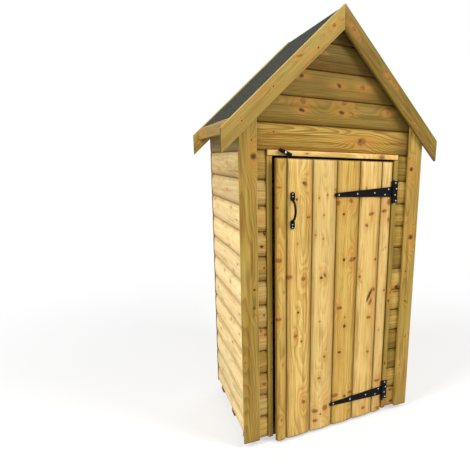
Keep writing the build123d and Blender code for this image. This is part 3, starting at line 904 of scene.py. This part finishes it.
# Barge boards: tone, and knots from the peak down the slope and across from the top edge
BARGES = {
    ("front", "left"): ((0.04, 0.62, 0.90, 0.4), [
        (100, -30, 6, 8), (215, -48, 3, 4, DARK), (300, -20, 4, 12, BROWN, 20), (470, -30, 3, 3, DARK),
        (660, -38, 2.5, 2.5, DARK),
    ]),
    ("front", "right"): ((0.0, 0.96, 0.71, 0.5), [
        (95, -36, 7, 9), (135, -42, 3, 4), (270, -8, 7, 26, GREEN), (205, -4, 5, 40, GREEN),
        (350, -30, 5, 10, BROWN, 15), (400, -24, 4, 5), (480, -12, 5, 14, GREEN), (600, -50, 4, 5),
    ]),
    ("rear", "left"): ((0.1, 0.3, 0.96, 0.6), None),
    ("rear", "right"): ((0.1, 0.3, 0.96, 0.6), None),
}


def barges():
    """Barge boards, mitred at the peak and cut plumb at the eaves."""
    for (end, name), (tone, knots) in BARGES.items():
        side = SIDES[name]
        node = f"{end}_{name}_barge"
        low, high = box[node]
        reach = max(abs(low.x), abs(high.x))
        origin = Vector((0, high.y if end == "front" else low.y, APEX))
        down, up = slope(side)
        stock = Stock(node, tone)
        stock.board(
            setting(origin, down, up, -Y if end == "front" else Y),
            [(across - BARGE_WIDTH, out) for across, out in planed(BARGE_WIDTH, high.y - low.y)],
            lambda across, out: -across, lambda across, out: reach * ROOT2 - across,
            knots=knots, cells=36, sunk=0.15 * MM, soak=(1 * MM, 1 * MM),
        )
        stock.finish(f"{node}_board", "shed", "trim_timber", node)


def felt():
    """A felt sheet on each slope, its top slightly uneven."""
    columns, rows = 60, 46
    stride, layer = columns + 1, (columns + 1) * (rows + 1)
    for name, side in SIDES.items():
        low, high = box[f"{name}_roof_felt"]
        slant = max(abs(low.x), abs(high.x)) * ROOT2
        down, out = slope(side)
        points, faces = [], []
        for inset, drop in ((FELT_DROP, FELT_DROP), (DECK_TOP, DECK_TOP - FELT_GAP)):
            for row in range(rows + 1):
                along = inset + (slant - 2 * inset) * (row / rows)
                for column in range(columns + 1):
                    y = low.y + (high.y - low.y) * column / columns
                    height = -drop
                    if drop == FELT_DROP:
                        wave = noise.noise(Vector((y * 5, along * 4, side * 9)))
                        ripple = noise.noise(Vector((y * 26, along * 3, side * 5)))
                        height += wave * FELT_WAVE + ripple * FELT_RIPPLE - FELT_SINK
                    points.append(Vector((0, y, APEX)) + down * along + out * height)
        for row in range(rows):
            for a in range(row * stride, row * stride + columns):
                faces.append((a, a + 1, a + 1 + stride, a + stride))
                b = a + layer
                faces.append((b, b + stride, b + 1 + stride, b + 1))
        rim = list(range(columns + 1))
        rim += [row * stride + columns for row in range(1, rows + 1)]
        rim += [rows * stride + column for column in range(columns - 1, -1, -1)]
        rim += [row * stride for row in range(rows - 1, 0, -1)]
        faces += [(a, a + layer, b + layer, b) for a, b in zip(rim, rim[1:] + rim[:1])]
        mesh = bpy.data.meshes.new(f"{name}_felt_sheet")
        mesh.from_pydata(points, [], faces)
        finished(mesh, FELT, "shed", "roof_felt", f"{name}_roof_felt")


# The door hangs ajar on its pin: everything on it is set out across from the pin, and out from it
hinge = joints["door_hinge"]
ajar = -math.radians(hinge["range_deg"][0])
pin = Vector((hinge["pos_m"][0], hinge["pos_m"][1], 0))
door_across = Vector((-math.cos(ajar), -math.sin(ajar), 0))
door_out = Vector((math.sin(ajar), -math.cos(ajar), 0))
DOOR_FACE = -5.5 * MM
DOOR_BACK = DOOR_FACE - CREST
DOOR_LAPS = [2.5 * MM, *((64 + 122 * step) * MM for step in range(5)), 600 * MM]
LEDGE_THICKNESS = 18 * MM

# Door boards from the hinges to the free edge: knots up the door and across from the pin, and tones
DOOR_KNOTS = [
    [(1134, 19, 8, 12), (1092, 42, 14, 7, BROWN, 10), (1048, 14, 6, 10), (690, 17, 7, 5), (195, 35, 15, 7),
     (30, 20, 15, 8, BROWN, -20), (911, 24, 3, 3), (480, 40, 3, 3)],
    [(1080, 115, 15, 7, BROWN, 15), (1025, 140, 8, 7, BROWN, -35), (855, 80, 6, 7), (775, 167, 6, 7),
     (701, 81, 7, 8), (676, 107, 7, 34, DARK, -25), (640, 100, 8, 16, BROWN, -20),
     (558, 104, 12, 7), (373, 103, 9, 6, BROWN, -20), (57, 115, 10, 7), (1200, 150, 4, 4)],
    [(1144, 232, 10, 8, BROWN, -40), (1134, 300, 12, 10), (1083, 269, 6, 6, DARK), (868, 261, 7, 7, DARK),
     (866, 213, 17, 9, BROWN, 15), (870, 200, 5, 6, DARK), (632, 277, 12, 8), (631, 272, 5, 4, DARK),
     (535, 247, 7, 9, DARK), (580, 246, 4, 4), (402, 270, 8, 5, DARK),
     (172, 290, 17, 9), (168, 200, 13, 8), (156, 233, 7, 7, DARK)],
    [(1171, 356, 4, 4), (1158, 397, 4, 4), (1082, 372, 4, 3), (993, 411, 4, 4), (975, 373, 4, 4),
     (804, 361, 6, 10, BROWN, 30), (793, 379, 7, 6, DARK), (581, 383, 8, 5, GREEN), (397, 355, 5, 5, DARK),
     (289, 381, 9, 5), (121, 345, 12, 13), (117, 400, 15, 9, BROWN, -15), (92, 369, 4, 4, DARK),
     (64, 398, 12, 8), (1195, 315, 6, 6, GREEN)],
    [(1221, 468, 12, 8, BROWN, -30), (1223, 474, 5, 5, DARK), (1153, 506, 5, 5, DARK), (1075, 448, 9, 5),
     (811, 540, 15, 9), (798, 470, 9, 9, BROWN, 40), (642, 495, 5, 5, DARK), (529, 507, 9, 6, BROWN, 30),
     (498, 477, 4, 4, DARK), (185, 462, 10, 8, BROWN, -30), (960, 500, 3, 3)],
    [(1204, 588, 9, 4), (1119, 594, 6, 5), (891, 588, 12, 9), (621, 588, 11, 7, BROWN, 15),
     (620, 596, 3, 5, DARK), (746, 564, 4, 10, GREEN), (400, 570, 2, 3), (120, 575, 4, 6)],
]
DOOR_TONES = [
    (0.34, 0.02, 1.02, 0.6), (0.16, 0.02, 1.0, 0.5), (0.06, 0.08, 0.99, 0.5), (0.20, 0.02, 1.02, 0.35),
    (0.12, 0.05, 1.0, 0.6), (0.04, 0.14, 0.95, 0.6),
]
LEDGES = ("upper_ledge", "middle_ledge", "lower_ledge")
LEDGE_ENDS = (32 * MM, 574 * MM)
LEDGE_CHAMFER = 4 * MM
BRACE_ENDS = (45 * MM, 455 * MM)
BRACE_FOOT = 105 * MM


def ledge_section(width):
    """Section of a ledge lying on the door's back, its two inner corners chamfered."""
    return [
        (LEDGE_CHAMFER, 0), (0, LEDGE_CHAMFER), (0, LEDGE_THICKNESS), (width, LEDGE_THICKNESS),
        (width, LEDGE_CHAMFER), (width - LEDGE_CHAMFER, 0),
    ]


def door():
    """Boards, ledges and braces of the door."""
    low, high = box["door_boards"]
    stock = Stock("door")
    place = setting(pin + door_out * DOOR_BACK, Z, door_across, door_out)
    for near, far, knots, tone in zip(DOOR_LAPS, DOOR_LAPS[1:], DOOR_KNOTS, DOOR_TONES):
        stock.board(place, loglap(near, far), low.z, high.z, knots=knots, tone=tone, cells=60)
    stock.finish("door_boarding", "door", "cladding_timber", "door_boards")

    back = pin + door_out * (DOOR_BACK - LEDGE_THICKNESS)
    for node in LEDGES:
        low, high = box[node]
        stock = Stock(node, SAWN)
        place = setting(back + Z * low.z, door_across, Z, door_out)
        stock.board(place, ledge_section(high.z - low.z), *LEDGE_ENDS, sunk=0)
        stock.finish(f"{node}_timber", "door", "framing_timber", node)
    for node in ("upper_brace", "lower_brace"):
        low, high = box[node]
        foot, head = Vector((BRACE_ENDS[0], low.z)), Vector((BRACE_ENDS[1], high.z))
        run = (head - foot).normalized()
        reach = (head - foot).length
        slant = run.x / run.y
        stock = Stock(node, SAWN)
        place = setting(
            back + door_across * foot.x + Z * foot.y,
            door_across * run.x + Z * run.y, door_across * run.y - Z * run.x, door_out,
        )
        stock.board(
            place, planed(BRACE_FOOT * run.y, LEDGE_THICKNESS),
            lambda across, out: across * slant, lambda across, out: reach + across * slant, sunk=0,
        )
        stock.finish(f"{node}_timber", "door", "framing_timber", node)


# Screws and nails

ROUND = 24


def lofted(rings):
    """Points and faces over rings of (radius, height) points about an upright axis, closed at both ends."""
    points = [
        (radius * math.cos(math.tau * k / ROUND), radius * math.sin(math.tau * k / ROUND), height)
        for ring in rings for k, (radius, height) in enumerate(ring)
    ]
    last = (len(rings) - 1) * ROUND
    faces = []
    for first in range(0, last, ROUND):
        for k in range(ROUND):
            after = (k + 1) % ROUND
            faces.append((first + k, first + after, first + ROUND + after, first + ROUND + k))
    return points, faces + [tuple(reversed(range(ROUND))), tuple(range(last, last + ROUND))]


def screw_head(radius):
    """A countersunk screw head with a cross recess, its rim just under the surface."""
    arm, slot = radius * 0.60, radius * 0.15
    cross = []
    for k in range(ROUND):
        turn = math.tau * k / ROUND
        cosine, sine = abs(math.cos(turn)) + TINY, abs(math.sin(turn)) + TINY
        cross.append(max(min(arm / cosine, slot / sine), min(arm / sine, slot / cosine)))
    return lofted([
        [(radius * 0.64, -radius * 0.42)] * ROUND,
        [(radius, -0.15 * MM)] * ROUND,
        [(radius * 0.94, 0.02 * MM)] * ROUND,
        [(reach, 0.10 * MM) for reach in cross],
        [(reach * 0.7, -radius * 0.25) for reach in cross],
    ])


NAIL_HEAD = lofted([
    [(radius * MM, height * MM)] * ROUND
    for radius, height in ((1.4, -1.2), (2.3, -0.4), (2.3, -0.05), (1.6, 0.1))
])


def scattered(name, body, slot, material, shape, places):
    """One piece made of many copies of a small shape, each turned to face out of its surface."""
    points, faces = [], []
    shape_points, shape_faces = shape
    for number, (centre, out) in enumerate(places):
        turn = out.to_track_quat("Z", "Y").to_matrix() @ Matrix.Rotation(number * 0.7, 3, "Z")
        first = len(points)
        points += [centre + turn @ Vector(point) for point in shape_points]
        faces += [tuple(first + index for index in face) for face in shape_faces]
    mesh = bpy.data.meshes.new(name)
    mesh.from_pydata(points, [], faces)
    finished(mesh, material, body, slot, corner=HEAD_CORNER)


def on_door(across, height, out):
    """A point on the door, from its distance across from the pin, its height and its distance out."""
    return pin + door_across * across + door_out * out + Z * height


# Hinges, each with its height and the droop of its strap, and the screws: across from the pin, and height
HINGES = ((131, 0), (1183, 12))
STRAP_SCREWS = ((298, 0), (200, 0), (104, 0), (44, -11), (24, 14))
STRAP_LENGTH = 312
PLATE_SCREWS = ((16, 43), (22, 15), (16, -14), (21, -42))
LEAF = 2.5 * MM
HINGE_SCREW = 3.6 * MM
HANDLE_SCREWS = ((526, 1178), (526, 1166), (526, 1046), (526, 1034))
HANDLE_PAD = 3 * MM
HANDLE_SCREW = 2.6 * MM
NAIL_SUNK = 0.15 * MM


def fasteners():
    """Screws of the hinges and the handle."""
    hinge_head, handle_head = screw_head(HINGE_SCREW), screw_head(HANDLE_SCREW)
    face, pad = DOOR_FACE + LEAF, DOOR_FACE + HANDLE_PAD
    places = [
        (on_door(across * MM, (height + up - droop * across / STRAP_LENGTH) * MM, face), door_out)
        for height, droop in HINGES for across, up in STRAP_SCREWS
    ]
    scattered("strap_screws", "door", "zinc_screw", ZINC, hinge_head, places)
    places = [(on_door(across * MM, height * MM, pad), door_out) for across, height in HANDLE_SCREWS]
    scattered("handle_screws", "door", "zinc_screw", ZINC, handle_head, places)
    plate_face = box["right_jamb_strip"][0].y - LEAF
    places = [
        (Vector((pin.x + across * MM, plate_face, (height + up) * MM)), -Y)
        for height, _ in HINGES for across, up in PLATE_SCREWS
    ]
    scattered("plate_screws", "shed", "zinc_screw", ZINC, hinge_head, places)


def nails():
    """Nails through the cladding into the posts, and through the ledges into the door."""
    heads = []
    rand = random.Random("nails")

    def astray(reach):
        return rand.uniform(-reach, reach) * MM

    front, rear = box["left_wall"][0].y + 26 * MM, box["rear_left_post"][1].y - 18 * MM
    side_face, back_face = box["right_wall"][0].x + CREST - NAIL_SUNK, box["back_wall"][1].y - NAIL_SUNK
    for bottom, top in zip(side_laps[:-2], side_laps[1:]):
        height = (bottom + top - LAP_GAP) / 2
        for y in (front, rear):
            for side in SIDES.values():
                heads.append((Vector((side * side_face, y + astray(3), height + astray(12))), X * side))
        for side in SIDES.values():
            x = side * (box["back_wall"][1].x - 22 * MM)
            heads.append((Vector((x + astray(3), back_face, height + astray(12))), Y))
    scattered("wall_nails", "shed", None, NAIL, NAIL_HEAD, heads)

    heads = []
    for node in LEDGES:
        low, high = box[node]
        for near, far in zip(DOOR_LAPS, DOOR_LAPS[1:]):
            across = min(max((near + far) / 2, LEDGE_ENDS[0] + 12 * MM), LEDGE_ENDS[1] - 12 * MM)
            for height in (low.z + 24 * MM, high.z - 24 * MM):
                point = on_door(across + astray(3), height, DOOR_BACK - LEDGE_THICKNESS)
                heads.append((point, -door_out))
    scattered("ledge_nails", "door", None, NAIL, NAIL_HEAD, heads)


side_walls()
back_wall()
front_walls()
corner_trims()
straight_pieces()
floor()
roof()
barges()
felt()
door()
fasteners()
nails()

for node, shown in frame["nodes"].items():
    if not shown.hide_render:
        material = ZINC if node == "turn_button_screw" else IRON
        for slot in shown.material_slots:
            slot.material = material


# The stage: a pale floor, soft light, and the camera at the photograph's angle

FLOOR_SIDES, FLOOR_REACH, FLOOR_DROP = 96, 14.0, 0.5 * MM
# How far out the floor's fade starts and ends, and how white it is there
FLOOR_FADE = (1.2, 3.2, 0.55, 1.0)
# The sky, as a light and as it is seen
SKY_LIGHT, SKY_SEEN = 0.32, 1.0

# Lamps: place, the point it looks at, size, power and colour
LAMPS = {
    "key": ((2.4, -3.0, 4.0), (0, 0, 1.0), 1.6, 178, (1.0, 0.98, 0.95)),
    "side": ((-4.6, -1.2, 5.2), (0, 0, 0.8), 2.2, 350, (1, 1, 1)),
    "rear": ((2.6, 3.4, 3.2), (0, 0, 1.0), 3.0, 60, (1, 1, 1)),
}


def stage():
    """A wide pale floor that fades to white, seen against a white background."""
    mesh = bpy.data.meshes.new("studio_floor")
    turns = [math.tau * k / FLOOR_SIDES for k in range(FLOOR_SIDES)]
    points = [(FLOOR_REACH * math.cos(turn), FLOOR_REACH * math.sin(turn), -FLOOR_DROP) for turn in turns]
    mesh.from_pydata(points, [], [tuple(range(FLOOR_SIDES))])
    material, s = new_material("studio_white")
    surface = s.tree.nodes["Principled BSDF"]
    surface.inputs["Base Color"].default_value = (0.82, 0.82, 0.82, 1)
    surface.inputs["Roughness"].default_value = 0.9
    glow = s.node("ShaderNodeEmission")
    glow.inputs["Strength"].default_value = 1.0
    away = s.remap(s.vector("LENGTH", s.place()), *FLOOR_FADE)
    blend = s.node("ShaderNodeMixShader")
    for socket, value in zip(blend.inputs, (s.times(s.seen(), away), surface.outputs[0], glow.outputs[0])):
        s.join(socket, value)
    s.join(s.tree.nodes["Material Output"].inputs[0], blend.outputs[0])
    mesh.materials.append(material)
    placed(mesh)


def lamps():
    """Square area lamps, each looking at a point."""
    for name, (place, target, size, power, colour) in LAMPS.items():
        light = bpy.data.lights.new(name, "AREA")
        light.shape = "SQUARE"
        light.size = size
        light.energy = power
        light.color = colour
        lit = placed(light)
        lit.location = place
        lit.rotation_euler = (Vector(target) - Vector(place)).to_track_quat("-Z", "Y").to_euler()


def world():
    """An even pale sky, white where it is seen."""
    made = bpy.data.worlds.new("studio")
    bpy.context.scene.world = made
    made.use_nodes = True
    s = Shader(made.node_tree)
    background = made.node_tree.nodes["Background"]
    background.inputs["Color"].default_value = (1, 1, 1, 1)
    s.join(background.inputs["Strength"], s.remap(s.seen(), 0.0, 1.0, SKY_LIGHT, SKY_SEEN, smooth=False))


def camera():
    """The camera, found by fitting the shed's edges to the photograph."""
    place = Vector((-0.8827, -2.0881, 1.3048))
    yaw, pitch, roll = 0.4689, 0.2164, 0.0300
    # In pixels of the photograph: focal length, width of the picture, and the point straight ahead
    focal, width, (centre_x, centre_y) = 433.58, 470, (340, 260)
    sensor = 36
    ahead = Vector((math.sin(yaw) * math.cos(pitch), math.cos(yaw) * math.cos(pitch), -math.sin(pitch)))
    level = Vector((math.cos(yaw), -math.sin(yaw), 0))
    upright = level.cross(ahead)
    right = level * math.cos(roll) + upright * math.sin(roll)
    up = upright * math.cos(roll) - level * math.sin(roll)
    lens = bpy.data.cameras.new("camera")
    lens.sensor_width = sensor
    lens.lens = focal * sensor / width
    lens.shift_x = (width / 2 - centre_x) / width
    lens.shift_y = (centre_y - width / 2) / width
    seen = placed(lens)
    seen.matrix_world = setting(place, right, up, -ahead)
    bpy.context.scene.camera = seen


stage()
world()
camera()
lamps()
bpy.context.scene.view_settings.view_transform = "Standard"
